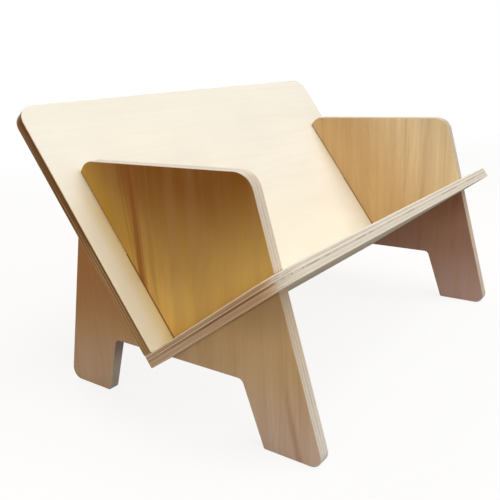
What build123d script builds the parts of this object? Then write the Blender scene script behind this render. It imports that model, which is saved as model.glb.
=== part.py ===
from build123d import *
import os
from math import cos, radians, sin

# A desk rack of four plywood boards: a long back and a long seat form a tilted V,
# and two identical A-shaped end panels cross both of them and stand on four feet.
# Sizes are in millimetres. X runs along the rack, -Y is the front, Z is up.
# The origin is on the desk, midway between the ends and midway between the feet.

# Boards
board_thickness = 10
arris_radius = 0.8

# Long boards
rack_length = 410
end_overhang = 25
back_height = 215
back_corner_radius = 15
seat_reach = 140
seat_corner_radius = 25
hidden_corner_radius = 1.5

# The V: both long boards turn by the same angle about its inner corner
lean_angle = 35
valley_height = 67
valley_offset = 3

# End panels
end_height = 200
end_top_width = 163
end_foot_spread = 264
end_top_radius = 16
foot_radius = 9
foot_inner_radius = 1.5
arch_height = 51
arch_top_width = 131
arch_foot_width = 164
arch_radius = 5

# Slots
slot_clearance = 0.2
slot_overrun = 5

# Worked out from the sizes above
lean = radians(lean_angle)
end_centre = rack_length / 2 - end_overhang - board_thickness / 2
edge_slope = (end_foot_spread - end_top_width) / 2 / end_height
half_width_at_valley = end_foot_spread / 2 - edge_slope * valley_height

# How far each long board's inner face runs inside an end panel, from the V's corner
seat_crossing = (half_width_at_valley - valley_offset) / (cos(lean) + edge_slope * sin(lean))
back_crossing = (half_width_at_valley + valley_offset) / (sin(lean) + edge_slope * cos(lean))

# Each crossing is halved: one board is slotted up to this line, the other beyond it
seat_lap = (seat_crossing - board_thickness) / 2
back_lap = back_crossing / 2

# The inner faces of the seat and the back, both looking into the V
valley = (0, -valley_offset, valley_height)
seat_plane = Plane(origin=valley, x_dir=(1, 0, 0), z_dir=(0, sin(lean), cos(lean)))
back_plane = Plane(origin=valley, x_dir=(1, 0, 0), z_dir=(0, -cos(lean), sin(lean)))


def rectangle_between(x_low, x_high, y_low, y_high):
    """A flat rectangle given by its four sides."""
    width = x_high - x_low
    depth = y_high - y_low
    return Pos(x_low + width / 2, y_low + depth / 2) * Rectangle(width, depth)


def sawn_board(corners, radii):
    """A board lying under the XY plane, with rounded corners and softly broken edges."""
    outline = make_face(FilletPolyline(*corners, radius=radii, close=True))
    blank = extrude(outline, amount=-board_thickness)
    face_edges = blank.edges().filter_by(Axis.Z, reverse=True)
    return fillet(face_edges, arris_radius)


def through_slot(opening):
    """The cutter for a slot, right through a board that lies under the XY plane."""
    start = Pos(0, 0, slot_overrun) * opening
    return extrude(start, amount=-(board_thickness + 2 * slot_overrun))


def end_panel_slots(y_low, y_high):
    """Two slots across a long board, one around each end panel."""
    half_slot = (board_thickness + slot_clearance) / 2
    cutters = []
    for side in (-1, 1):
        middle = side * end_centre
        opening = rectangle_between(middle - half_slot, middle + half_slot, y_low, y_high)
        cutters.append(through_slot(opening))
    return cutters


def make_back_panel():
    """The tall board that books lean on. Its lower edge stands on the seat."""
    half = rack_length / 2
    corners = [(-half, 0), (half, 0), (half, back_height), (-half, back_height)]
    radii = [hidden_corner_radius] * 2 + [back_corner_radius] * 2
    board = sawn_board(corners, radii)
    board -= end_panel_slots(-slot_overrun, back_lap)
    return back_plane * board


def make_seat_panel():
    """The board that books stand on. It runs on under the back, flush with its rear."""
    half = rack_length / 2
    corners = [(-half, -seat_reach), (half, -seat_reach), (half, board_thickness), (-half, board_thickness)]
    radii = [seat_corner_radius] * 2 + [hidden_corner_radius] * 2
    board = sawn_board(corners, radii)
    board -= end_panel_slots(-seat_lap, board_thickness + slot_overrun)
    return seat_plane * board


def make_end_panel(middle):
    """An A-shaped end with a slot from its front edge and a slot from its rear edge."""
    top = end_top_width / 2
    foot = end_foot_spread / 2
    arch_foot = arch_foot_width / 2
    arch_top = arch_top_width / 2
    front_half = [(-top, end_height), (-foot, 0), (-arch_foot, 0), (-arch_top, arch_height)]
    rear_half = [(-y, z) for y, z in reversed(front_half)]
    front_radii = [end_top_radius, foot_radius, foot_inner_radius, arch_radius]
    board = sawn_board(front_half + rear_half, front_radii + front_radii[::-1])

    # In the V's own frame X runs rearwards along the seat and Y runs up the back.
    # The long boards rest on the outer sides of their slots, with the clearance inside.
    in_valley = Pos(-valley_offset, valley_height) * Rot(0, 0, -lean_angle)
    seat_slot = rectangle_between(-end_foot_spread, -seat_lap, -board_thickness, slot_clearance)
    back_slot = rectangle_between(-slot_clearance, board_thickness, back_lap, end_foot_spread)
    for opening in (seat_slot, back_slot):
        board -= through_slot(in_valley * opening)

    outer_face = Plane(origin=(middle + board_thickness / 2, 0, 0), x_dir=(0, 1, 0), z_dir=(1, 0, 0))
    return outer_face * board


pieces = {
    "back_panel": make_back_panel(),
    "seat_panel": make_seat_panel(),
    "left_end_panel": make_end_panel(-end_centre),
    "right_end_panel": make_end_panel(end_centre),
}

os.makedirs("parts", exist_ok=True)
for name, piece in pieces.items():
    export_step(piece, f"parts/{name}.step")
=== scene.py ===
from functools import partial
from math import ceil, cos, floor, radians, sin, tan
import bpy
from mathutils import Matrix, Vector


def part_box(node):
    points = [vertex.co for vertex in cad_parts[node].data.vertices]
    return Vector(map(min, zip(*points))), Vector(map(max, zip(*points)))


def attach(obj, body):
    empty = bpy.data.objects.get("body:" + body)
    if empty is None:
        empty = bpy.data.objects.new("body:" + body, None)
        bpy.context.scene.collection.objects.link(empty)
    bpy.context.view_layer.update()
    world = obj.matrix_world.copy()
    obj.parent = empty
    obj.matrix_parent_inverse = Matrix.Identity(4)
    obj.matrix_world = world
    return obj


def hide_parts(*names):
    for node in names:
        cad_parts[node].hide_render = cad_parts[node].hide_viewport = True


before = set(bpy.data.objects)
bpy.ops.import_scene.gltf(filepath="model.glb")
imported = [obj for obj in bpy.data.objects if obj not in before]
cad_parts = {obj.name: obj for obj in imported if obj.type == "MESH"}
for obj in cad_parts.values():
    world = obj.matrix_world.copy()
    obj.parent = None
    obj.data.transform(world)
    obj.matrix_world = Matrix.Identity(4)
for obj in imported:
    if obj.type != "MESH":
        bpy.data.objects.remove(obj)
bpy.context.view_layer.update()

from types import SimpleNamespace

import bmesh
import bpy
from bpy.props import FloatProperty, FloatVectorProperty, IntProperty, PointerProperty
from bpy.types import Operator, Panel, PropertyGroup
from mathutils import Matrix, Vector

bl_info = {
    "name": "Slot-together desk rack",
    "version": (1, 0, 0),
    "blender": (4, 5, 0),
    "location": "3D View > Sidebar > Desk Rack",
    "description": "Builds the four plywood boards of a tilted desk rack and a studio round it",
    "category": "Object",
}

# The boxes of the left end panel and of the back in the imported model
END_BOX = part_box("left_end_panel")
BACK_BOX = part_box("back_panel")

MILLIMETRE = 0.001
HALF_TURN = radians(180)
NEARLY_PARALLEL = 1e-9

# How far a board may miss the box of the node that it replaces
FIT = 0.2 * MILLIMETRE

# The mesh of a board
ARRIS_STEPS = 4
ARRIS_WANDER = 0.25
FACE_MARGIN = 0.3 * MILLIMETRE
MERGE_DISTANCE = 0.01 * MILLIMETRE
SHARP_EDGE = radians(30)

# The lacquer: its roughness and gloss, and the relief of the wood under it
LACQUER_ROUGHNESS = 0.70
SPECULAR_LEVEL = 0.15
RELIEF_STRENGTH = 0.35
RELIEF_HEIGHT = 0.06 * MILLIMETRE

# The noises of a veneer: swells in a millimetre along and across the fibres, the shift that sets one
# apart from the others, detail and roughness
VEINS = {
    "sway": (0.006, 0.016, 0, 2.0, 0.5),
    "ripple": (0.025, 0.09, 3, 2.0, 0.5),
    "band": (0.004, 0.10, 23, 2.0, 0.5),
    "clear": (0.008, 0.05, 9, 2.0, 0.5),
    "fibre": (0.02, 1.6, 5, 4.0, 0.65),
    "hair": (0.07, 6.0, 11, 2.0, 0.6),
    "pore": (0.28, 4.5, 17, 1.0, 0.5),
    "thread": (0.004, 0.45, 41, 3.0, 0.6),
    "cloud": (0.012, 0.02, 31, 3.0, 0.5),
}

# How far the sway and the ripple bend the fibres, and the cloud the borders of a tint, in millimetres
SWAY_BEND = 5
RIPPLE_BEND = 1.5
TINT_WANDER = 7

# What sets the second face's noises apart from the first's, and the swells in a millimetre of the
# streaks on a sawn end and of the gap in the core
SHEET_SHIFT = 7.3
SAW_STREAKS = 0.010
GAP_WANDER = 0.012

# The reddish streaks of the end panels: how far behind the middle each lies at the top, how far it moves
# back with each millimetre upwards, half width, strength, and the height where it ends
LEFT_STREAKS = (
    (28.7, 0.05, 5.0, 0.95, 300.0),
    (29.6, 0.03, 1.6, 0.6, 300.0),
    (24.5, 0.04, 1.4, 0.35, 300.0),
    (33.5, 0.08, 1.4, 0.45, 300.0),
    (37.0, 0.11, 2.4, 0.45, 300.0),
    (42.0, 0.13, 1.4, 0.4, 300.0),
    (15.0, 0.03, 3.5, 0.28, 150.0),
    (-79.6, 0.16, 4.5, 0.5, 45.0),
)
RIGHT_STREAKS = ((-62.0, -0.05, 5.0, 0.16, 300.0),)

# A streak fades out over this many millimetres below and above its end
STREAK_FADE = 30

# The colours that the back and the seat have each for itself
OWN_COLOURS = ("reverse", "reverse_grain", "saw_cut", "saw_bare", "arris")

# How strongly each tint is laid over the wood: of the long boards, of the end panels, and of all. All but the
# valley grain are painted light and shade.
BOUNCE_TINT = 0.25
CLOSE_BOUNCE_TINT = 0.48
JOINT_SHADE = 0.4
VALLEY_GRAIN = 0.35
END_SHADE_LINE = 0.7
CORNER_SHADE = 0.6
TOP_SHADE = 0.4
MIDDLE_SHADE = 0.14
INNER_JOINT = 0.8
OUTER_JOINT = 0.3
SEAM_STRENGTH = 0.8

WHITE = (1.0, 1.0, 1.0)
LAMP_AIM = (0, 0, 0.1)
TABLE_HALF_WIDTH = 4.0
SENSOR_WIDTH = 36
NEAREST_SEEN = 0.01


def number(name, description, default, **kind):
    """A property that holds a number."""
    return FloatProperty(name=name, description=description, default=default, **kind)


def triple(name, description, default, **kind):
    """A property that holds three numbers."""
    return FloatVectorProperty(name=name, description=description, default=default, **kind)


length = partial(number, unit="LENGTH", subtype="DISTANCE", precision=5)
angle = partial(number, unit="ROTATION", subtype="ANGLE")
power = partial(number, unit="POWER")
share = partial(number, min=0, max=1, subtype="FACTOR")
position = partial(triple, unit="LENGTH", subtype="TRANSLATION")
colour = partial(triple, subtype="COLOR", size=3, min=0, max=1)


class RackSizes(PropertyGroup):
    """The sizes of the boards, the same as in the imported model."""

    board_thickness: length("Board thickness", "Thickness of every board", END_BOX[1].x - END_BOX[0].x)
    rack_length: length("Rack length", "Length of the back and of the seat", BACK_BOX[1].x - BACK_BOX[0].x)
    end_centre: length("End centre", "From the middle of the rack to the middle of an end panel",
                       -(END_BOX[0].x + END_BOX[1].x) / 2)
    end_height: length("End height", "Height of an end panel", END_BOX[1].z - END_BOX[0].z)
    end_foot_spread: length("Foot spread", "Depth over the feet, before rounding", 0.264)
    end_top_width: length("Top width", "Depth at the top, before rounding", 0.163)
    end_top_radius: length("Top radius", "Rounding of an end panel's upper corners", 0.016)
    foot_radius: length("Foot radius", "Rounding of a foot's outer corner", 0.009)
    foot_inner_radius: length("Inner foot radius", "Rounding of a foot's inner corner", 0.0015)
    arch_height: length("Arch height", "Height of the opening between the feet", 0.051)
    arch_top_width: length("Arch top width", "Width of the opening at its top", 0.131)
    arch_foot_width: length("Arch foot width", "Width of the opening at the floor", 0.164)
    arch_radius: length("Arch radius", "Rounding of the opening's upper corners", 0.005)
    back_height: length("Back height", "Height of the back along its slope", 0.215)
    back_corner_radius: length("Back corner radius", "Rounding of the back's upper corners", 0.015)
    seat_reach: length("Seat reach", "From the V's corner to the front edge", 0.140)
    seat_corner_radius: length("Seat corner radius", "Rounding of the seat's front corners", 0.025)
    hidden_corner_radius: length("Hidden corner radius", "Rounding of the corners at the V", 0.0015)
    lean: angle("Lean", "Turn of the V from upright", radians(35))
    valley_height: length("Valley height", "Height of the V's inner corner", 0.067)
    valley_offset: length("Valley offset", "How far the V's corner lies before the middle", 0.003)
    slot_clearance: length("Slot clearance", "Spare width of a slot", 0.0002)
    arris_radius: length("Arris radius", "Rounding of a board's long edges", 0.0008)
    slot_arris: share("Slot arris", "Share of the arris radius along a slot", 0.6)
    ply_count: IntProperty(name="Plies", description="Veneer layers in a board", default=7, min=3, max=15)
    groove_depth: length("Groove depth", "Depth of the groove at a glue line", 0.00009)
    groove_width: length("Groove width", "Width of the groove at a glue line", 0.00026)
    run_step: length("Run step", "Longest straight step along an edge", 0.005)
    corner_step: angle("Corner step", "Turn of one step round a corner", radians(6))


class RackFinish(PropertyGroup):
    """The colours of the veneers and of the ply edges."""

    pale_wood: colour("Pale wood", "Face of the back and the seat", (0.93, 0.90, 0.82))
    # Painted shade and warm bounce light, laid over the pale wood beside each end panel
    bounce_tint_colour: colour("Pale stain", "The back and the seat, where they pass an end", (0.76, 0.60, 0.18))
    pale_grain: colour("Pale grain", "Late wood and fibres in the pale face", (0.84, 0.77, 0.62))
    back_reverse: colour("Back reverse", "Rear of the back", (0.866, 0.80, 0.669))
    back_reverse_grain: colour("Back reverse grain", "Late wood in the back's rear", (0.50, 0.40, 0.26))
    seat_reverse: colour("Seat reverse", "Underside of the seat", (0.626, 0.556, 0.424))
    seat_reverse_grain: colour("Seat reverse grain", "Late wood under the seat", (0.36, 0.29, 0.19))
    # Inside the V the end panels are golden: partly their own tone, partly painted warm light
    honey_wood: colour("Honey wood", "Left end panel, inside the V", (0.90, 0.60, 0.18))
    straw_wood: colour("Straw wood", "Right end panel, inside the V at the front", (1.0, 0.83, 0.55))
    # Painted shade: the right panel's wood is darker deep in the V than at its straw front
    wheat_shaded_wood: colour("Wheat wood", "Right end panel, inside the V at the back", (0.78, 0.54, 0.27))
    # Painted shade on the long boards close beside an end panel
    joint_shade_colour: colour("Amber wood", "The back and the seat, close beside an end", (0.70, 0.42, 0.15))
    # Painted shade at the top of the end panels, inside the V
    top_shade_colour: colour("Dark wood", "End panels, in the middle of the top", (0.29, 0.105, 0.012))
    # Painted shade in the corner beside the top of the back
    corner_shade_colour: colour("Gold wood", "End panels, beside the top of the back", (0.44, 0.24, 0.007))
    # Painted shade behind the back
    rear_shade_colour: colour("Russet wood", "End panels, behind the back", (0.44, 0.155, 0.033))
    # Outside the V: tan on the left and rose on the right, partly the wood's own tone; the rose is also
    # painted shade under the seat
    tan_wood: colour("Tan wood", "Left end panel, under the V", (0.73, 0.52, 0.28))
    rose_shaded_wood: colour("Rose wood", "Right end panel, under the V", (0.45, 0.245, 0.19))
    # Painted floor light: paler, pinker wood at the feet
    left_foot_lit_colour: colour("Left foot wood", "Left end panel, at the feet", (0.78, 0.605, 0.505))
    right_foot_lit_colour: colour("Right foot wood", "Right end panel, at the feet", (0.64, 0.445, 0.405))
    honey_grain: colour("Honey grain", "Late wood in the end panels", (0.36, 0.16, 0.04))
    honey_streak: colour("Honey streak", "Reddish streaks in the end panels", (0.31, 0.09, 0.014))
    honey_drift: colour("Honey drift", "Paler, pinker wood in the end panels", (0.52, 0.31, 0.14))
    edge_long: colour("Edge, long grain", "A ply cut along its fibres", (0.80, 0.765, 0.69))
    edge_end: colour("Edge, end grain", "A ply cut across its fibres", (0.69, 0.61, 0.50))
    back_saw_cut: colour("Saw cut, back", "Stained plies of the back's ends", (0.27, 0.11, 0.023))
    back_saw_bare: colour("Bare saw cut, back", "Less stained plies of the back's ends", (0.62, 0.38, 0.17))
    # Painted highlight on the front arris of the back's ends
    back_arris: colour("Arris, back", "The front arris of the back's ends", (1.0, 0.90, 0.72))
    seat_saw_cut: colour("Saw cut, seat", "Stained plies of the seat's ends", (0.77, 0.51, 0.30))
    seat_saw_bare: colour("Bare saw cut, seat", "Less stained plies of the seat's ends", (0.85, 0.62, 0.42))
    # Painted highlight on the upper arris of the seat's ends
    seat_arris: colour("Arris, seat", "The upper arris of the seat's ends", (1.0, 0.73, 0.32))
    end_saw_cut: colour("Saw cut, end panels", "Top and feet of an end panel", (1.0, 0.97, 0.88))
    # The seam colour is painted shade: along the slots, along the joints and under the seat
    seam: colour("Seam", "The darkened wood along a slot", (0.20, 0.062, 0.03))
    glue: colour("Glue line", "The line between two plies", (0.16, 0.085, 0.04))


class RackStudio(PropertyGroup):
    """The camera, the lamps and the floor."""

    camera_place: position("Camera place", "Where the camera stands", (-0.49112, -0.31619, 0.26432))
    camera_aim: position("Camera aim", "The point in the middle of the view", (-0.03339, 0.03246, 0.09423))
    camera_roll: angle("Camera roll", "Turn of the camera about its view", radians(-3.078))
    camera_lens: number("Lens", "Focal length on a 36 mm sensor", 45.016, unit="CAMERA")
    key_power: power("Key lamp", "Power of the large lamp", 36.2)
    key_size: length("Key size", "Side of the large lamp", 2.0)
    key_place: position("Key place", "Where the large lamp hangs", (0.05, -1.2, 1.75))
    key_tint: colour("Key tint", "Colour of the large lamp", (0.965, 0.99, 1.0))
    fill_power: power("Fill lamp", "Power of the lamp on the left", 2.3)
    fill_size: length("Fill size", "Side of the lamp on the left", 0.6)
    fill_place: position("Fill place", "Where the lamp on the left hangs", (-1.25, -0.45, 0.25))
    fill_tint: colour("Fill tint", "Colour of the lamp on the left", (1.0, 0.92, 0.82))
    rear_power: power("Rear lamp", "Power of the lamp behind", 9.0)
    rear_size: length("Rear size", "Side of the lamp behind", 1.2)
    rear_place: position("Rear place", "Where the lamp behind hangs", (0.3, 1.3, 1.5))
    rear_tint: colour("Rear tint", "Colour of the lamp behind", (1.0, 0.97, 0.92))
    room_light: share("Room light", "Strength of the light from all round", 0.30)
    room_tint: colour("Room tint", "Colour of the light from all round", (1.0, 0.84, 0.65))
    floor_colour: colour("Floor colour", "Colour of the table top", (0.45, 0.44, 0.43))
    floor_shade: colour("Floor shade", "The white table top's part that takes shadows", (0.16, 0.16, 0.16))
    floor_glow: share("Floor glow", "The white table top's part that takes no shadow", 0.845)
    floor_reach: length("Floor reach", "Where the table top starts to fade", 0.6)
    floor_fade: length("Floor fade", "Where the ground is plain white", 1.8)


def adds(operation):
    """A method that adds a Math node for the wire and another value."""
    return lambda self, other: self.bench.maths(operation, self, other)


class Wire:
    """A node's output that can be written in sums, each of which adds a Math node."""

    def __init__(self, bench, socket):
        self.bench = bench
        self.socket = socket

    def __getitem__(self, name):
        return Wire(self.bench, self.socket.node.outputs[name])

    def __rsub__(self, other):
        return self.bench.maths("SUBTRACT", other, self)

    __add__ = __radd__ = adds("ADD")
    __sub__ = adds("SUBTRACT")
    __mul__ = __rmul__ = adds("MULTIPLY")
    __truediv__ = adds("DIVIDE")
    __pow__ = adds("POWER")
    __gt__ = adds("GREATER_THAN")
    __lt__ = adds("LESS_THAN")

    def __abs__(self):
        return self.alone("ABSOLUTE")

    def __floor__(self):
        return self.alone("FLOOR")

    def alone(self, operation):
        """A Math node that takes this value alone."""
        return self.bench.maths(operation, self)

    def step(self, low, high):
        """0 at low, 1 at high, and a soft rise between them."""
        sockets = {"Value": self, "From Min": low, "From Max": high}
        return self.bench.node("ShaderNodeMapRange", sockets, interpolation_type="SMOOTHSTEP")


class Bench:
    """Adds nodes to one tree."""

    def __init__(self, tree):
        self.tree = tree

    def node(self, kind, sockets=(), **settings):
        """A new node with its settings made and then its sockets filled; gives its first output."""
        made = self.tree.nodes.new(kind)
        for name, value in settings.items():
            setattr(made, name, value)
        for key, value in dict(sockets).items():
            target = made.inputs[key] if isinstance(key, int) else self.socket_of(made, key)
            if isinstance(value, Wire):
                self.tree.links.new(value.socket, target)
            elif target.type == "RGBA":
                target.default_value = (*value, 1.0)
            else:
                target.default_value = value
        outputs = [output for output in made.outputs if output.enabled]
        return Wire(self, outputs[0]) if outputs else None

    def socket_of(self, made, name):
        """The input in use that has this name."""
        return next(socket for socket in made.inputs if socket.enabled and socket.name == name)

    def maths(self, operation, *values):
        return self.node("ShaderNodeMath", dict(enumerate(values)), operation=operation)

    def vector(self, x=0.0, y=0.0, z=0.0):
        return self.node("ShaderNodeCombineXYZ", {"X": x, "Y": y, "Z": z})

    def parts(self, vector):
        split = self.node("ShaderNodeSeparateXYZ", {"Vector": vector})
        return split["X"], split["Y"], split["Z"]

    def vector_maths(self, operation, *values):
        return self.node("ShaderNodeVectorMath", dict(enumerate(values)), operation=operation)

    def scaled(self, vector, amount):
        return self.node("ShaderNodeVectorMath", {"Vector": vector, "Scale": amount}, operation="SCALE")

    def attribute(self, name, output="Fac"):
        """What the mesh carries under this name."""
        return self.node("ShaderNodeAttribute", attribute_name=name)[output]

    def chance(self, seed):
        """A value from 0 to 1 that differs from one seed to the next."""
        return self.node("ShaderNodeTexWhiteNoise", {"W": seed}, noise_dimensions="1D")

    def noise(self, x, y, z, detail=2.0, roughness=0.5):
        """Smooth noise from 0 to 1, one unit of each coordinate to a swell."""
        sockets = {"Vector": self.vector(x, y, z), "Scale": 1.0, "Detail": detail, "Roughness": roughness}
        return self.node("ShaderNodeTexNoise", sockets, noise_dimensions="3D")

    def moving_noise(self, vector, moment, scale, detail):
        """Smooth noise that is another at each moment."""
        sockets = {"Vector": vector, "W": moment, "Scale": scale, "Detail": detail}
        return self.node("ShaderNodeTexNoise", sockets, noise_dimensions="4D")

    def mix(self, factor, below, above, blend="MIX"):
        """One colour laid over another."""
        sockets = {"Factor": factor, "A": below, "B": above}
        return self.node("ShaderNodeMix", sockets, data_type="RGBA", blend_type=blend)

    def blend(self, factor, below, above):
        """One shader over another."""
        return self.node("ShaderNodeMixShader", {0: factor, 1: below, 2: above})

    def layered(self, base, layers):
        """A colour with others laid over it in turn, each given as (factor, colour)."""
        for factor, above in layers:
            base = self.mix(factor, base, above)
        return base


def empty_bench(owner):
    """A bench on the tree of a material or a world, with nothing on it yet."""
    owner.use_nodes = True
    owner.node_tree.nodes.clear()
    return Bench(owner.node_tree)


def placed(name, data):
    """A new object in the scene."""
    made = bpy.data.objects.new(name, data)
    bpy.context.scene.collection.objects.link(made)
    return made


def rounded_corner(before, corner, after, radius, step):
    """The points of one rounded corner between two straight runs."""
    to_before = (before - corner).normalized()
    to_after = (after - corner).normalized()
    opening = to_before.angle(to_after)
    start = corner + to_before * radius / tan(opening / 2)
    centre = corner + (to_before + to_after).normalized() * radius / sin(opening / 2)
    turn = HALF_TURN - opening
    if to_before.cross(to_after) > 0:
        turn = -turn
    count = ceil(abs(turn) / step)
    arm = start - centre
    return [centre + Matrix.Rotation(turn * index / count, 2) @ arm for index in range(count + 1)]


def run_points(start, end, step, lead):
    """The points inside one straight run, with one close to each end."""
    run = end - start
    if run.length < 3 * lead:
        return []
    count = ceil((run.length - 2 * lead) / step)
    inner = [lead + (run.length - 2 * lead) * index / count for index in range(count + 1)]
    return [start + run * (place / run.length) for place in inner]


def mouth_of(points, start, direction):
    """The first place where a line out of a slot's corner crosses the outline, and the run it is on."""
    found = []
    for index, (place, _) in enumerate(points):
        edge = points[(index + 1) % len(points)][0] - place
        across = direction.cross(edge)
        if abs(across) < NEARLY_PARALLEL:
            continue
        reach = (place - start).cross(edge) / across
        along = (place - start).cross(direction) / across
        if reach > 0 and 0 <= along < 1:
            found.append((reach, index))
    reach, index = min(found)
    return start + direction * reach, index


def cut_slot(points, slot, sizes):
    """The outline with one slot in it. A slot is its two inner corners and the way to its mouth."""
    first, second, direction = slot
    first_mouth, leave = mouth_of(points, first, direction)
    second_mouth, join = mouth_of(points, second, direction)
    mouths = (first_mouth, second_mouth)
    kept = (join - leave) % len(points)
    rest = [points[(join + 1 + index) % len(points)] for index in range(len(points) - kept)]
    clear = 2 * sizes.arris_radius
    rest = [each for each in rest if min((each[0] - mouth).length for mouth in mouths) > clear]
    slot_ease = sizes.slot_arris
    mouth_ease = (1 + slot_ease) / 2
    cut = [(first_mouth, mouth_ease), (first, slot_ease), (second, slot_ease), (second_mouth, mouth_ease)]
    return cut + rest


def outline_points(corners, slots, sizes):
    """The closed outline of a board, anticlockwise, as (point, share of the arris) pairs.

    Each corner is (x, y, radius)."""
    places = [Vector(corner[:2]) for corner in corners]
    points = []
    for index, corner in enumerate(corners):
        before, after = places[index - 1], places[(index + 1) % len(places)]
        bend = rounded_corner(before, places[index], after, corner[2], sizes.corner_step)
        points += [(place, 1.0) for place in bend]
    for slot in slots:
        points = cut_slot(points, slot, sizes)
    lead = 3 * sizes.arris_radius
    whole = []
    for index, (place, ease) in enumerate(points):
        following, next_ease = points[(index + 1) % len(points)]
        run_ease = sizes.slot_arris if min(ease, next_ease) <= sizes.slot_arris else 1.0
        whole.append((place, ease))
        whole += [(inner, run_ease) for inner in run_points(place, following, sizes.run_step, lead)]
    return whole


def outline_object(name, points):
    """A loose loop of edges that carries its outward direction and its share of the arris."""
    count = len(points)
    mesh = bpy.data.meshes.new(name)
    edges = [(index, (index + 1) % count) for index in range(count)]
    mesh.from_pydata([(place.x, place.y, 0) for place, ease in points], edges, [])
    mesh.attributes.new("outward", "FLOAT_VECTOR", "POINT")
    mesh.attributes.new("ease", "FLOAT", "POINT")
    outward, eased = mesh.attributes["outward"], mesh.attributes["ease"]
    for index, (place, ease) in enumerate(points):
        incoming = (place - points[index - 1][0]).normalized()
        leaving = (points[(index + 1) % count][0] - place).normalized()
        out_before = Vector((incoming.y, -incoming.x))
        out_after = Vector((leaving.y, -leaving.x))
        mitre = (out_before + out_after) / (1 + out_before.dot(out_after))
        outward.data[index].vector = (mitre.x, mitre.y, 0)
        eased.data[index].value = ease
    return placed(name, mesh)


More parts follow.
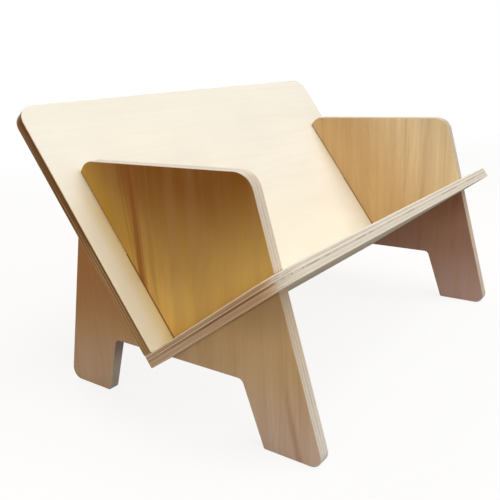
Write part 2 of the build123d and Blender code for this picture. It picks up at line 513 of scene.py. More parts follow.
def board_tree():
    """The tree that turns a flat outline into a plywood board: a wall of plies and two faces."""
    tree = bpy.data.node_groups.new("Plywood board", "GeometryNodeTree")
    bench = Bench(tree)
    tree.interface.new_socket("Outline", in_out="INPUT", socket_type="NodeSocketGeometry")
    inputs = (
        ("Thickness", "Float"), ("Plies", "Int"), ("Arris Radius", "Float"), ("Arris Steps", "Int"),
        ("Face Margin", "Float"), ("Groove Depth", "Float"), ("Groove Width", "Float"),
        ("Wander", "Float"), ("Seed", "Int"), ("Finish", "Material"),
    )
    for name, kind in inputs:
        tree.interface.new_socket(name, in_out="INPUT", socket_type=f"NodeSocket{kind}")
    tree.interface.new_socket("Board", in_out="OUTPUT", socket_type="NodeSocketGeometry")
    entry = bench.node("NodeGroupInput")
    thickness, plies, steps = entry["Thickness"], entry["Plies"], entry["Arris Steps"]

    def add(kind, sockets=(), **settings):
        return bench.node(f"GeometryNode{kind}", sockets, **settings)

    def named(name, kind="FLOAT"):
        return add("InputNamedAttribute", {"Name": name}, data_type=kind)

    def store(geometry, name, value, kind="FLOAT"):
        sockets = {"Geometry": geometry, "Name": name, "Value": value}
        return add("StoreNamedAttribute", sockets, data_type=kind)

    # The section through the wall: one point for each ring round the board
    arris_rings = steps + 2
    wall_rings = (plies - 1) * 3
    rings = arris_rings * 2 + wall_rings
    line = add("CurvePrimitiveLine", {"Start": (0, 0, 0), "End": (0, 1, 0)})
    section = add("ResampleCurve", {"Curve": line, "Count": rings})
    section = store(section, "ring", add("InputIndex"))

    loop = add("MeshToCurve", {0: entry["Outline"]})
    loop = store(loop, "place", add("InputPosition"), "FLOAT_VECTOR")
    wall = add("CurveToMesh", {"Curve": loop, "Profile Curve": section})

    # Where each ring lies: rounded arrises at both faces, and a fine groove at each glue line
    ring = named("ring")
    mirrored = bench.maths("MINIMUM", ring, rings - 1 - ring)
    far_side = ring > rings / 2
    on_wall = mirrored > steps + 1.5
    turn = bench.maths("MAXIMUM", (mirrored - 1) / steps, 0.0)
    turn = bench.maths("MINIMUM", turn, 1.0) * (HALF_TURN / 2)
    place = named("place", "FLOAT_VECTOR")
    drift_place = bench.scaled(place, 60.0)
    drift = bench.moving_noise(drift_place, entry["Seed"] * 3.7, 1.0, 3.0)
    eased_radius = entry["Arris Radius"] * named("ease")
    arris = eased_radius * (1 - entry["Wander"] * drift)
    on_margin = mirrored < 0.5
    arris_inset = arris * (1 - turn.alone("SINE")) * (1 - on_margin)
    arris_inset = arris_inset + on_margin * (eased_radius + entry["Face Margin"])
    arris_depth = arris * (1 - turn.alone("COSINE"))
    arris_depth = far_side * (thickness - arris_depth * 2) + arris_depth

    wall_index = ring - arris_rings
    glue_line = floor(wall_index / 3)
    groove_part = wall_index - glue_line * 3 - 1
    glue_depth = (glue_line + 1) * (thickness / plies) + groove_part * entry["Groove Width"] / 2
    drift_along = bench.moving_noise(drift_place, glue_line * 5.3 + entry["Seed"], 2.0, 2.0)
    groove_floor = (1 - abs(groove_part)) * entry["Groove Depth"]
    wall_inset = groove_floor * drift_along.step(0.35, 0.65)

    depth = on_wall * glue_depth + (1 - on_wall) * arris_depth
    inset = on_wall * wall_inset + (1 - on_wall) * arris_inset
    outward = named("outward", "FLOAT_VECTOR")
    inward = bench.scaled(outward, inset * -1)
    down = bench.vector(0.0, 0.0, depth * -1)
    moved = bench.vector_maths("ADD", bench.vector_maths("ADD", place, inward), down)
    wall = add("SetPosition", {"Geometry": wall, "Position": moved})
    wall = store(wall, "edge_direction", bench.vector_maths("NORMALIZE", outward), "FLOAT_VECTOR")
    rim = (on_wall + (1 - on_wall) * turn.alone("SINE")) * (1 - on_margin)
    wall = store(wall, "rim", rim)

    # The two faces: the innermost ring filled, once on each side
    border = add("MeshToCurve", {0: wall, "Selection": ring < 0.25})
    face = add("FillCurve", {"Curve": border}, mode="NGONS")
    back = add("Transform", {"Geometry": face, "Translation": bench.vector(0.0, 0.0, thickness * -1)})
    back = add("FlipFaces", {"Mesh": back})
    joined = add("JoinGeometry")
    for part in (wall, face, back):
        tree.links.new(part.socket, joined.socket.node.inputs[0])
    board = add("MergeByDistance", {"Geometry": joined, "Distance": MERGE_DISTANCE})

    # Where a point lies in the board: along X and Y, and its depth under the first face
    here = add("InputPosition")
    board = store(board, "board", bench.vector_maths("MULTIPLY", here, (1, 1, -1)), "FLOAT_VECTOR")
    for name in ("ring", "place", "outward"):
        board = add("RemoveAttribute", {"Geometry": board, "Name": name})
    board = add("SetShadeSmooth", {0: board, "Shade Smooth": True})
    sharp = add("InputMeshEdgeAngle") > SHARP_EDGE
    board = add("SetShadeSmooth", {0: board, "Selection": sharp, "Shade Smooth": False}, domain="EDGE")
    board = add("RealizeInstances", {"Geometry": board})
    board = add("SetMaterial", {"Geometry": board, "Material": entry["Finish"]})
    bench.node("NodeGroupOutput", {"Board": board})
    return tree


def closed_copy(shaped, name, placement):
    """The evaluated shape as a plain mesh in its place, every face turned outwards."""
    graph = bpy.context.evaluated_depsgraph_get()
    mesh = bpy.data.meshes.new_from_object(
        shaped.evaluated_get(graph), preserve_all_data_layers=True, depsgraph=graph
    )
    mesh.name = name
    mesh.transform(placement)
    work = bmesh.new()
    work.from_mesh(mesh)
    bmesh.ops.recalc_face_normals(work, faces=work.faces)
    if any(not edge.is_manifold for edge in work.edges):
        raise RuntimeError(f"{name} isn't closed")
    work.to_mesh(mesh)
    work.free()
    return mesh


def make_board(name, node, points, placement, finish, seed):
    """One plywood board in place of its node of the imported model."""
    sizes = bpy.context.scene.rack_sizes
    tree = bpy.data.node_groups.get("Plywood board") or board_tree()
    outline = outline_object(name + "_outline", points)
    modifier = outline.modifiers.new("Plywood board", "NODES")
    modifier.node_group = tree
    values = {
        "Thickness": sizes.board_thickness,
        "Plies": sizes.ply_count,
        "Arris Radius": sizes.arris_radius,
        "Arris Steps": ARRIS_STEPS,
        "Face Margin": FACE_MARGIN,
        "Groove Depth": sizes.groove_depth,
        "Groove Width": sizes.groove_width,
        "Wander": ARRIS_WANDER,
        "Seed": seed,
        "Finish": finish,
    }
    for item in tree.interface.items_tree:
        if item.in_out == "INPUT" and item.name in values:
            modifier[item.identifier] = values[item.name]
    mesh = closed_copy(outline, name, placement)
    flat = outline.data
    bpy.data.objects.remove(outline)
    bpy.data.meshes.remove(flat)

    board = placed(name, mesh)
    places = [vertex.co for vertex in mesh.vertices]
    low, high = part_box(node)
    for axis in range(3):
        made = (min(place[axis] for place in places), max(place[axis] for place in places))
        if max(abs(made[0] - low[axis]), abs(made[1] - high[axis])) > FIT:
            raise RuntimeError(f"{name} doesn't fit {node} along axis {axis}")
    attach(board, "root")
    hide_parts(node)


def placement_on(origin, along, outwards):
    """The matrix that takes a board's own plane to its place in the rack."""
    up = outwards.cross(along)
    turn = Matrix((along, up, outwards)).transposed().to_4x4()
    return Matrix.Translation(origin) @ turn


def lap_lengths(sizes):
    """How far the slots in the seat and in the back reach from the V's inner corner."""
    slope = (sizes.end_foot_spread - sizes.end_top_width) / 2 / sizes.end_height
    half_width = sizes.end_foot_spread / 2 - slope * sizes.valley_height
    seat_run = (half_width - sizes.valley_offset) / (cos(sizes.lean) + slope * sin(sizes.lean))
    back_run = (half_width + sizes.valley_offset) / (sin(sizes.lean) + slope * cos(sizes.lean))
    return (seat_run - sizes.board_thickness) / 2, back_run / 2


def long_outline(sizes, low, high, inner, opening):
    """A long board between two edges, each given as (place, corner radius), with a slot for each end panel.

    The slots start at the line called inner and open to the low edge (-1) or to the high one (1)."""
    half = sizes.rack_length / 2
    corners = [(-half, *low), (half, *low), (half, *high), (-half, *high)]
    half_slot = (sizes.board_thickness + sizes.slot_clearance) / 2
    slots = []
    for middle in (-sizes.end_centre, sizes.end_centre):
        first = Vector((middle + half_slot * opening, inner))
        second = Vector((middle - half_slot * opening, inner))
        slots.append((first, second, Vector((0, opening))))
    return outline_points(corners, slots, sizes)


def end_outline(sizes):
    """An A shape with a slot from its front edge for the seat and one from its rear edge for the back."""
    top = sizes.end_top_width / 2
    foot = sizes.end_foot_spread / 2
    arch_foot = sizes.arch_foot_width / 2
    arch_top = sizes.arch_top_width / 2
    front = [
        (-top, sizes.end_height, sizes.end_top_radius),
        (-foot, 0, sizes.foot_radius),
        (-arch_foot, 0, sizes.foot_inner_radius),
        (-arch_top, sizes.arch_height, sizes.arch_radius),
    ]
    rear = [(-y, z, radius) for y, z, radius in reversed(front)]

    # The V's own directions: rearwards and down along the seat, and up the back
    valley = Vector((-sizes.valley_offset, sizes.valley_height))
    along_seat = Vector((cos(sizes.lean), -sin(sizes.lean)))
    up_back = Vector((sin(sizes.lean), cos(sizes.lean)))
    seat_lap, back_lap = lap_lengths(sizes)
    thickness, clearance = sizes.board_thickness, sizes.slot_clearance
    seat_end = valley - along_seat * seat_lap
    back_end = valley + up_back * back_lap
    slots = (
        (seat_end + up_back * clearance, seat_end - up_back * thickness, -along_seat),
        (back_end + along_seat * thickness, back_end - along_seat * clearance, up_back),
    )
    return outline_points(front + rear, slots, sizes)


class Spot:
    """Where a point lies in a board, in millimetres, and what it shows of the plies, all as wires."""

    def __init__(self, bench, look, grain_axis):
        self.finish = bpy.context.scene.rack_finish
        self.sizes = sizes = bpy.context.scene.rack_sizes
        place = bench.scaled(bench.attribute("board", "Vector"), 1 / MILLIMETRE)
        self.x, self.y, self.depth = bench.parts(place)
        self.thickness = sizes.board_thickness / MILLIMETRE
        self.layer = self.depth > self.thickness / 2
        self.sheet = self.layer * SHEET_SHIFT + look.seed
        self.rim = bench.attribute("rim")
        out_x, self.out_y, _ = bench.parts(bench.attribute("edge_direction", "Vector"))
        grain_on_x = grain_axis == "X"
        self.along, self.across = (self.x, self.y) if grain_on_x else (self.y, self.x)
        self.facing = abs(out_x if grain_on_x else self.out_y)
        self.rising = self.y / look.reach

        # Every second ply has its fibres turned, so it shows end grain where its neighbours don't
        self.layer_place = self.depth * (sizes.ply_count / self.thickness)
        self.ply = bench.maths("MAXIMUM", floor(self.layer_place), 0.0)
        self.turned = (self.ply / 2).alone("FRACT") > 0.25
        sideways = (1 - self.facing * self.facing).alone("SQRT")
        self.end_grain = (1 - self.turned) * self.facing + self.turned * sideways
        self.sawn = self.facing.step(0.70, 0.98)


def long_board_tone(bench, look, spot, drawn):
    """Pale wood: yellower beside the end panels as painted shade and warm bounce light, and another veneer on
    the hidden side, darker along its ends as painted shade.
    """
    sizes, finish = spot.sizes, spot.finish
    aside = abs(spot.x)
    beyond = aside - sizes.end_centre / MILLIMETRE - spot.thickness / 2 + drawn * 0.15
    overhang = beyond > 0
    between = 1 - overhang
    # Painted shade and warm bounce light: the pale wood turns yellow over the overhang past each end panel
    # and just inside it
    bounce_tint = overhang * (BOUNCE_TINT + CLOSE_BOUNCE_TINT * beyond.step(17.0, 0.0))
    bounce_tint = bounce_tint + between * BOUNCE_TINT * beyond.step(-30.0, -spot.thickness)
    crossed = spot.rising.step(1.08, 0.70)
    wood = bench.layered(finish.pale_wood, (
        (bounce_tint * crossed, finish.bounce_tint_colour),
        # Painted shade close beside the joint with an end panel
        (overhang * beyond.step(3.0, 0.0) * crossed * JOINT_SHADE, finish.joint_shade_colour),
        (between * spot.y.step(130.0, 40.0) * VALLEY_GRAIN, finish.pale_grain),
    ))
    half = sizes.rack_length / 2 / MILLIMETRE
    # Painted shade: the hidden side takes the saw-cut colour over its last millimetres before each end
    end_shade_line = aside.step(half - 1.8, half - 0.8) * END_SHADE_LINE
    reverse = bench.mix(end_shade_line, look.reverse, look.saw_cut)
    return bench.mix(spot.layer, wood, reverse)


def end_panel_tone(bench, look, spot, drawn):
    """Honey wood that darkens upwards inside the V as painted shade, and is duller outside it and pinker at
    the feet as painted floor light.
    """
    sizes, finish, thickness = spot.sizes, spot.finish, spot.thickness
    y, z = spot.x, spot.y
    rearwards = y + sizes.valley_offset / MILLIMETRE
    height = z - sizes.valley_height / MILLIMETRE

    # How far a point lies above the seat and before the back, whatever the board's own axes say
    above = rearwards * sin(sizes.lean) + height * cos(sizes.lean)
    before = height * sin(sizes.lean) - rearwards * cos(sizes.lean)
    up, forth = above + drawn, before + drawn
    rise = above * 0.6 + height * 0.4 + drawn

    # Inside the V: painted shade, darkest in the middle of the top, and a darker gold as painted shade beside
    # the top of the back
    inside = above.step(-15.0, 3.0) * before.step(-15.0, 3.0)
    spread = before.step(100.0, 55.0)
    darkened = rise.step(8 - spread * 20, 98 + spread * 35) * forth.step(-30.0, 60.0)
    painted_corner_shade = up.step(20.0, 110.0) * forth.step(45.0, 5.0) * before.step(-thickness, 0.0)
    painted_upper_shade = z.step(155.0, 190.0) * before.step(80.0, 35.0) * before.step(0.0, 30.0)
    middle = z.step(95.0, 130.0) * z.step(195.0, 160.0) * y.step(32.0, 5.0) * y.step(-75.0, -20.0)
    painted_upper_shade = painted_upper_shade * TOP_SHADE + middle * MIDDLE_SHADE

    # Outside it: redder behind the back as painted shade, pinker at the feet as painted floor light, and a
    # painted shadow under the seat
    close = before.step(-75.0, -40.0) * above.step(110.0, 60.0)
    behind = (up.step(-40.0, 120.0) * 0.8 + close * 0.16) * before.step(-thickness / 2, -thickness)
    painted_floor_light = (z + drawn).step(80.0, 0.0) * (1 - 0.45 * before.step(0.0, -120.0))
    under = above.step(-45.0, -12.0) * above.step(0.0, -6.0) * before.step(40.0, 90.0)

    # The shadow line where a long board meets the face
    joint = 0.0
    for away, beside in ((before, above), (above, before)):
        for face, strength in ((0.0, INNER_JOINT), (-thickness, OUTER_JOINT)):
            line = 1 - abs(away - face).step(0.4, 1.6)
            joint = bench.maths("MAXIMUM", joint, line * beside.step(-thickness - 1, -thickness) * strength)

    # Inside the V: on the right panel paler at the front and darker deep in the V, as painted shade
    wood = bench.mix(before.step(30.0, 120.0), look.wood, look.front)
    return bench.layered(look.outer, (
        (inside, wood),
        (darkened * look.ripeness, finish.top_shade_colour),
        (painted_corner_shade * look.ripeness * CORNER_SHADE, finish.corner_shade_colour),
        (painted_upper_shade * inside * look.ripeness, finish.top_shade_colour),
        (behind, finish.rear_shade_colour),
        (painted_floor_light, look.foot),
        (under * look.under, finish.seam),
        (joint, finish.seam),
    ))


def veneer_figure(bench, look, spot):
    """The figure of a flat-cut veneer: the board cuts nested cones of the log, and fibres run along it."""
    def vein(name, beside):
        """One of the noises, laid along the fibres."""
        lengthwise, crosswise, shift, detail, roughness = VEINS[name]
        return bench.noise(spot.along * lengthwise, beside * crosswise, spot.sheet + shift, detail, roughness)

    sway, ripple = vein("sway", spot.across) - 0.5, vein("ripple", spot.across) - 0.5
    bend = spot.across - sway * SWAY_BEND - ripple * RIPPLE_BEND
    band = vein("band", bend)
    cut = look.rise + (spot.along - look.apex) * look.taper
    offset = spot.across + (1 - spot.layer) * look.sheet_shift - look.heart
    radius = (offset * offset + cut * cut) ** 0.5
    radius = radius + sway * look.sway + ripple * look.ripple + (band - 0.5) * look.uneven
    phase = (radius / look.pitch).alone("FRACT")
    clear = vein("clear", spot.across).step(0.3, 0.7)
    return SimpleNamespace(
        bend=bend, band=band, clear=clear,
        late=phase.step(0.35, 0.92) * (1 - phase.step(0.92, 1.0)) * (clear * 0.85 + 0.15),
        fibre=vein("fibre", bend), hair=vein("hair", bend),
        pore=vein("pore", bend).step(0.66, 0.80),
        thread=vein("thread", bend).step(0.52, 0.76),
        cloud=vein("cloud", spot.across),
    )


def face_colour(bench, look, spot, figure):
    """The veneer: its wood, and growth rings, fibres, pores and streaks laid over it."""
    wood = look.tone(bench, look, spot, (figure.cloud - 0.5) * TINT_WANDER)
    grain = bench.mix(spot.layer, look.grain, look.reverse_grain)
    face = bench.layered(wood, (
        (figure.band.step(0.35, 0.68) * look.drift, look.drift_colour),
        (figure.late * look.ring_strength, grain),
        ((figure.fibre - 0.42) * look.fibre_strength, grain),
        ((figure.hair - 0.45) * look.hair_strength, grain),
        (figure.pore * look.pore_strength, grain),
        (figure.thread * figure.clear * look.thread_strength, grain),
    ))
    broken = spot.layer * (figure.fibre * 0.9 + 0.35)
    for at, lean, width, strength, top in look.streaks:
        away = abs(figure.bend - at - (spot.along - look.apex) * lean)
        streak = (1 - away.step(0.0, width)) * broken * spot.along.step(top + STREAK_FADE, top - STREAK_FADE)
        face = bench.mix(streak * strength, face, look.streak)
    shade = 1 + (figure.cloud - 0.5) * look.cloud
    return bench.mix(1.0, face, bench.vector(shade, shade, shade), "MULTIPLY")


def edge_colour(bench, look, spot, fine):
    """The cut plies, and the sawn ends: stained from ply to ply, with a bright upper arris that is a painted
    highlight.
    """
    tone = bench.chance(spot.ply + look.seed)
    streaked = bench.noise(spot.x * SAW_STREAKS, spot.y * SAW_STREAKS, spot.ply * 2.1 + look.seed)
    bare = tone * 0.45 + streaked + spot.rising.step(0.9, 0.2) * 0.5
    saw_cut = bench.mix(bare.step(0.70, 1.0) * look.bare, look.saw_cut, look.saw_bare)
    # Painted highlight: the upper arris of a sawn end takes its own bright colour and is made brighter
    arris = spot.sawn * (1 - bench.maths("MAXIMUM", spot.rim.step(0.80, 1.0), spot.layer))
    edge = bench.layered(spot.finish.edge_long, (
        (spot.end_grain, spot.finish.edge_end),
        (spot.sawn * look.saw_strength, saw_cut),
        (arris, look.arris),
    ))
    shade = look.edge_tone + tone * 0.20 + (fine - 0.5) * (0.22 + spot.end_grain * 0.5)
    shade = shade * (1 - spot.sawn * spot.turned * look.ply_contrast) + arris * 0.35

    # The tint of the edges changes from the feet to the top, and in the arch: painted floor light at the feet
    # and above the seat, painted shade under the seat and in the arch
    outer = spot.out_y.step(-0.05, 0.15)
    painted_edge_light = 1 - spot.rising.step(0.0, 0.62) + spot.rising.step(0.64, 0.70) * 0.45
    outer_tint = bench.mix(painted_edge_light * outer, look.edge_tint, look.foot_tint)
    in_arch = spot.rising.step(0.08, 0.25)
    arch_tint = bench.mix(in_arch, look.foot_tint, look.arch_tint)
    tint = bench.mix(outer, arch_tint, outer_tint)
    return bench.mix(1.0, edge, bench.scaled(tint, shade), "MULTIPLY")


def glue_line(bench, look, spot):
    """Glue lines, uneven along the edge, and a dark gap that wanders through the core."""
    plies, seed, facing = spot.sizes.ply_count, look.seed, spot.facing

    def along_edge(run, shift, *detail):
        """Noise that changes along the edge."""
        return bench.noise(spot.x * run, spot.y * run, shift, *detail)

    nearest = floor(spot.layer_place + 0.5)
    inner = (nearest > 0.5) * (nearest < plies - 0.5)
    away = abs(spot.layer_place - nearest) * (spot.thickness / plies)
    line = (1 - away.step(0.05, 0.20 + facing * 0.15)) * inner
    run = 0.045 - facing * 0.030
    broken = along_edge(run, nearest * 3.1 + seed, 3.0, 0.6).step(0.25, 0.65)
    strength = bench.chance(nearest + seed + 0.5) * 0.75 + 0.15
    strength = strength * (broken * 0.8 + 0.2) * (facing * 0.6 + 0.7)

    wander = along_edge(GAP_WANDER, seed + 51.0, 1.0) - 0.5
    gap_place = spot.layer_place - look.core_line - wander * facing * 0.9
    gap_break = along_edge(run, seed + 57.0).step(0.48, 0.58) * (0.5 - facing * 0.2)
    gap_break = gap_break + spot.sawn * spot.rising.step(-0.2, 0.9) * 0.9
    gap = (1 - abs(gap_place).step(0.10, 0.42 + facing * 0.22)) * gap_break
    return bench.maths("MAXIMUM", line * strength * look.glue_strength, gap * look.gap_strength)


def wood_finish(name, grain_axis, look):
    """Lacquered plywood: veneer with growth rings and fibres on the faces, plies at the edges."""
    material = bpy.data.materials.new(name)
    bench = empty_bench(material)
    spot = Spot(bench, look, grain_axis)
    figure = veneer_figure(bench, look, spot)
    fibre, late, layer = figure.fibre, figure.late, spot.layer

    # The fibres in the cut plies run with the face grain in one ply and across it in the next
    fine_depth = spot.depth * 3.0 + spot.sheet
    fine_along = bench.noise(spot.along * 0.06, spot.across * 2.2, fine_depth, 3.0, 0.6)
    fine_across = bench.noise(spot.along * 2.2, spot.across * 0.06, fine_depth, 3.0, 0.6)
    fine = (1 - spot.turned) * fine_along + spot.turned * fine_across

    line = glue_line(bench, look, spot)
    edge = bench.mix(line, edge_colour(bench, look, spot, fine), spot.finish.glue)
    worn = spot.rim.step(0.75 - layer * (spot.sawn * 0.35 + 0.40), 1 - layer * (spot.sawn * 0.55 + 0.05))
    base = bench.mix(worn, face_colour(bench, look, spot, figure), edge)
    # Painted shade along the arris of each slot
    seam = (1 - bench.attribute("ease")).step(0.15, 0.35) * spot.rim.step(0.05, 0.45)
    base = bench.mix(seam * SEAM_STRENGTH, base, spot.finish.seam)

    roughness = LACQUER_ROUGHNESS + fibre * 0.08 + late * 0.05 + worn * (0.10 + spot.end_grain * 0.08)
    roughness = roughness - figure.cloud * 0.04
    face_relief = fibre * 0.5 + figure.hair * 0.25 - figure.pore * 0.5 - late * 0.25
    relief = face_relief * (1 - worn) + worn * (fine - line * 0.8)
    sockets = {"Strength": RELIEF_STRENGTH, "Distance": RELIEF_HEIGHT, "Height": relief}
    bump = bench.node("ShaderNodeBump", sockets)
    sockets = {"Base Color": base, "Roughness": roughness, "Normal": bump}
    sockets["Specular IOR Level"] = SPECULAR_LEVEL
    shader = bench.node("ShaderNodeBsdfPrincipled", sockets)
    bench.node("ShaderNodeOutputMaterial", {"Surface": shader})
    return material


def pale_look(finish, seed, reach, **own):
    """The look of a long board; reach is how far an end panel runs along it, in millimetres,
    and own is what only it has."""
    return SimpleNamespace(
        tone=long_board_tone, seed=seed, reach=reach,
        grain=finish.pale_grain, drift_colour=finish.pale_grain, drift=0.12,
        heart=95.0, rise=60.0, apex=-120.0, taper=0.07, pitch=7.5,
        sway=22.0, ripple=3.0, uneven=3.0, sheet_shift=60.0, cloud=0.10, streaks=(),
        ring_strength=0.16, fibre_strength=0.40, hair_strength=0.25, pore_strength=0.35,
        thread_strength=0.12, saw_strength=0.97, bare=0.9, ply_contrast=0.26,
        edge_tone=0.86, edge_tint=WHITE, foot_tint=WHITE, arch_tint=WHITE,
        core_line=3.45, glue_strength=1.0, gap_strength=0.9, **own,
    )


def honey_look(finish, seed, reach, **own):
    """The look of an end panel; reach is its height in millimetres, and own is what only it has."""
    return SimpleNamespace(
        tone=end_panel_tone, seed=seed, reach=reach,
        grain=finish.honey_grain, reverse_grain=finish.honey_grain, streak=finish.honey_streak,
        drift_colour=finish.honey_drift, drift=0.24,
        heart=-5.0, rise=26.0, apex=200.0, taper=-0.14, pitch=5.0,
        sway=16.0, ripple=8.0, uneven=9.0, sheet_shift=37.0, cloud=0.10,
        ring_strength=0.09, fibre_strength=0.32, hair_strength=0.3, pore_strength=0.3,
        thread_strength=0.22, saw_cut=finish.end_saw_cut, saw_bare=finish.edge_long,
        saw_strength=0.95, bare=0.3, ply_contrast=0.08,
        # The edge tint is painted shade under the seat, and the arch tint painted shade in the arch
        edge_tone=0.80, edge_tint=(0.89, 0.79, 0.695), arch_tint=(0.53, 0.42, 0.48),
        core_line=3.4, glue_strength=0.38, gap_strength=0.4, **own,
    )


class RACK_OT_long_boards(Operator):
    """Make the back and the seat, which cross at the V"""

    bl_idname = "rack.long_boards"
    bl_label = "Make Long Boards"

    def execute(self, context):
        sizes = context.scene.rack_sizes
        finish = context.scene.rack_finish
        valley = Vector((0, -sizes.valley_offset, sizes.valley_height))
        thickness, hidden = sizes.board_thickness, sizes.hidden_corner_radius
        seat_lap, back_lap = lap_lengths(sizes)

        # The back lies above its lower edge, and its slots open downwards. The seat runs from its front
        # edge to the back's rear face, and its slots open to the rear.
        upper_edge = (sizes.back_height, sizes.back_corner_radius)
        front_edge = (-sizes.seat_reach, sizes.seat_corner_radius)
        back = long_outline(sizes, (0, hidden), upper_edge, back_lap, -1)
        seat = long_outline(sizes, front_edge, (thickness, hidden), -seat_lap, 1)
        back_face = Vector((0, -cos(sizes.lean), sin(sizes.lean)))
        seat_face = Vector((0, sin(sizes.lean), cos(sizes.lean)))
        for name, outline, face, reach, grain_seed, seed in (
            ("back", back, back_face, 2 * back_lap, 3, 11),
            ("seat", seat, seat_face, -(2 * seat_lap + thickness), 8, 12),
        ):
            own = {part: getattr(finish, f"{name}_{part}") for part in OWN_COLOURS}
            look = pale_look(finish, grain_seed, reach / MILLIMETRE, **own)
            placement = placement_on(valley, Vector((1, 0, 0)), face)
            material = wood_finish(f"Pale plywood, {name}", "X", look)
            make_board(f"long_{name}_board", f"{name}_panel", outline, placement, material,
                       seed)
        return {"FINISHED"}


class RACK_OT_end_panels(Operator):
    """Make the two A-shaped end panels"""

    bl_idname = "rack.end_panels"
    bl_label = "Make End Panels"

    def execute(self, context):
        sizes = context.scene.rack_sizes
        finish = context.scene.rack_finish
        # Each panel's foot colour and foot tint are painted floor light, under sets its painted shadow under
        # the seat, and the shade strength its painted shade inside the V
        left = dict(
            wood=finish.honey_wood, front=finish.honey_wood, arris=finish.honey_wood,
            outer=finish.tan_wood, foot=finish.left_foot_lit_colour, foot_tint=(1.07, 1.09, 1.15),
            ripeness=1.0, under=0.35, streaks=LEFT_STREAKS,
        )
        right = dict(
            wood=finish.wheat_shaded_wood, front=finish.straw_wood, arris=finish.straw_wood,
            outer=finish.rose_shaded_wood, foot=finish.right_foot_lit_colour, foot_tint=(0.96, 0.92, 0.88),
            ripeness=0.10, under=0.6, streaks=RIGHT_STREAKS,
        )
        for side, sign, seed, own in (("left", -1, 5, left), ("right", 1, 14, right)):
            place = Vector((sign * sizes.end_centre + sizes.board_thickness / 2, 0, 0))
            placement = placement_on(place, Vector((0, 1, 0)), Vector((1, 0, 0)))
            look = honey_look(finish, seed, sizes.end_height / MILLIMETRE, **own)
            material = wood_finish(f"Honey plywood, {side}", "Y", look)
            make_board(f"{side}_a_shaped_end", f"{side}_end_panel", end_outline(sizes), placement, material,
                       20 + seed)
        return {"FINISHED"}


def lamp(name, power, size, place, tint):
    """A soft square lamp that looks at the rack."""
    data = bpy.data.lights.new(name, "AREA")
    data.energy = power
    data.size = size
    data.color = tint
    light = placed(name, data)
    light.location = place
    light.rotation_euler = (Vector(LAMP_AIM) - Vector(place)).to_track_quat("-Z", "Y").to_euler()


def seen_ray(bench):
    """1 for what the camera sees, straight or in a reflection, and 0 for light that falls on the rack."""
    path = bench.node("ShaderNodeLightPath")
    direct = bench.maths("MAXIMUM", path["Is Camera Ray"], path["Is Glossy Ray"])
    return bench.maths("MAXIMUM", direct, path["Is Transmission Ray"])


def make_floor(studio):
    """A plain white table top that takes the rack's soft shadow."""
    mesh = bpy.data.meshes.new("table_top")
    half = TABLE_HALF_WIDTH
    corners = [(-half, -half, 0), (half, -half, 0), (half, half, 0), (-half, half, 0)]
    mesh.from_pydata(corners, [], [(0, 1, 2, 3)])
    floor = placed("table_top", mesh)
    material = bpy.data.materials.new("White table top")
    bench = empty_bench(material)
    clear = bench.node("ShaderNodeBsdfTransparent")
    matt = bench.node("ShaderNodeBsdfDiffuse", {"Color": studio.floor_colour})
    shade = bench.node("ShaderNodeBsdfDiffuse", {"Color": studio.floor_shade})
    glow = bench.node("ShaderNodeEmission", {"Color": WHITE, "Strength": studio.floor_glow})
    white = bench.node("ShaderNodeEmission", {"Color": WHITE, "Strength": 1.0})
    seen = seen_ray(bench)
    shown = bench.node("ShaderNodeAddShader", {0: shade, 1: glow})
    near = bench.blend(seen, matt, shown)
    here = bench.node("ShaderNodeTexCoord")["Object"]
    away = bench.vector_maths("LENGTH", here).step(studio.floor_reach, studio.floor_fade)
    whole = bench.blend(seen * away, near, white)

    # Clear from below, and clear to what touches it, so that the undersides of the feet show
    below = bench.node("ShaderNodeNewGeometry")["Backfacing"]
    touching = (1 - seen) * (bench.node("ShaderNodeLightPath")["Ray Length"] < MILLIMETRE)
    passing = bench.maths("MAXIMUM", below, touching)
    whole = bench.blend(passing, whole, clear)
    bench.node("ShaderNodeOutputMaterial", {"Surface": whole})
    mesh.materials.append(material)


def make_room(scene, studio):
    """White where it is seen, and a warm, weak light from all round."""
    world = bpy.data.worlds.new("Studio room")
    bench = empty_bench(world)
    white = bench.node("ShaderNodeBackground", {"Color": WHITE, "Strength": 1.0})
    sockets = {"Color": studio.room_tint, "Strength": studio.room_light}
    room = bench.node("ShaderNodeBackground", sockets)
    both = bench.blend(seen_ray(bench), room, white)
    bench.node("ShaderNodeOutputWorld", {"Surface": both})
    scene.world = world


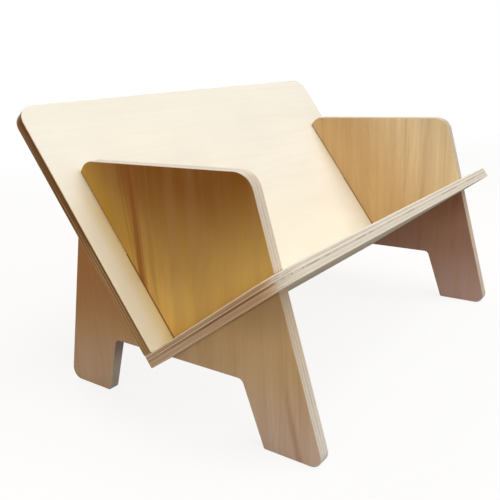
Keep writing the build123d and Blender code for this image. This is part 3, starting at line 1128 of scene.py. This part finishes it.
def make_camera(scene, studio):
    """The camera, at the photo's view."""
    data = bpy.data.cameras.new("Camera")
    data.lens = studio.camera_lens
    data.sensor_width = SENSOR_WIDTH
    data.clip_start = NEAREST_SEEN
    camera = placed("Camera", data)
    place = Vector(studio.camera_place)
    aim = (Vector(studio.camera_aim) - place).to_track_quat("-Z", "Y").to_matrix()
    turn = aim @ Matrix.Rotation(studio.camera_roll, 3, "Z")
    camera.matrix_world = Matrix.Translation(place) @ turn.to_4x4()
    scene.camera = camera


class RACK_OT_studio(Operator):
    """Make the table top, the lamps, the room light and the camera"""

    bl_idname = "rack.studio"
    bl_label = "Make Studio"

    def execute(self, context):
        scene = context.scene
        studio = scene.rack_studio
        make_floor(studio)
        make_room(scene, studio)
        lamp("Key lamp", studio.key_power, studio.key_size, studio.key_place, studio.key_tint)
        lamp("Fill lamp", studio.fill_power, studio.fill_size, studio.fill_place, studio.fill_tint)
        lamp("Rear lamp", studio.rear_power, studio.rear_size, studio.rear_place, studio.rear_tint)
        make_camera(scene, studio)
        scene.view_settings.view_transform = "Standard"
        return {"FINISHED"}


class RACK_PT_sidebar(Panel):
    """Lists the steps that build the rack"""

    bl_idname = "RACK_PT_sidebar"
    bl_label = "Desk Rack"
    bl_space_type = "VIEW_3D"
    bl_region_type = "UI"
    bl_category = "Desk Rack"

    def draw(self, context):
        column = self.layout.column()
        for step in STEPS:
            column.operator(step.bl_idname)
        for group in (context.scene.rack_sizes, context.scene.rack_finish, context.scene.rack_studio):
            box = self.layout.box()
            for name in group.__annotations__:
                box.prop(group, name)


STEPS = (RACK_OT_long_boards, RACK_OT_end_panels, RACK_OT_studio)
CLASSES = (RackSizes, RackFinish, RackStudio, *STEPS, RACK_PT_sidebar)


def register():
    for each in CLASSES:
        bpy.utils.register_class(each)
    bpy.types.Scene.rack_sizes = PointerProperty(type=RackSizes)
    bpy.types.Scene.rack_finish = PointerProperty(type=RackFinish)
    bpy.types.Scene.rack_studio = PointerProperty(type=RackStudio)


def unregister():
    del bpy.types.Scene.rack_studio
    del bpy.types.Scene.rack_finish
    del bpy.types.Scene.rack_sizes
    for each in reversed(CLASSES):
        bpy.utils.unregister_class(each)


def main():
    register()
    bpy.ops.rack.long_boards()
    bpy.ops.rack.end_panels()
    bpy.ops.rack.studio()


if __name__ == "__main__":
    main()
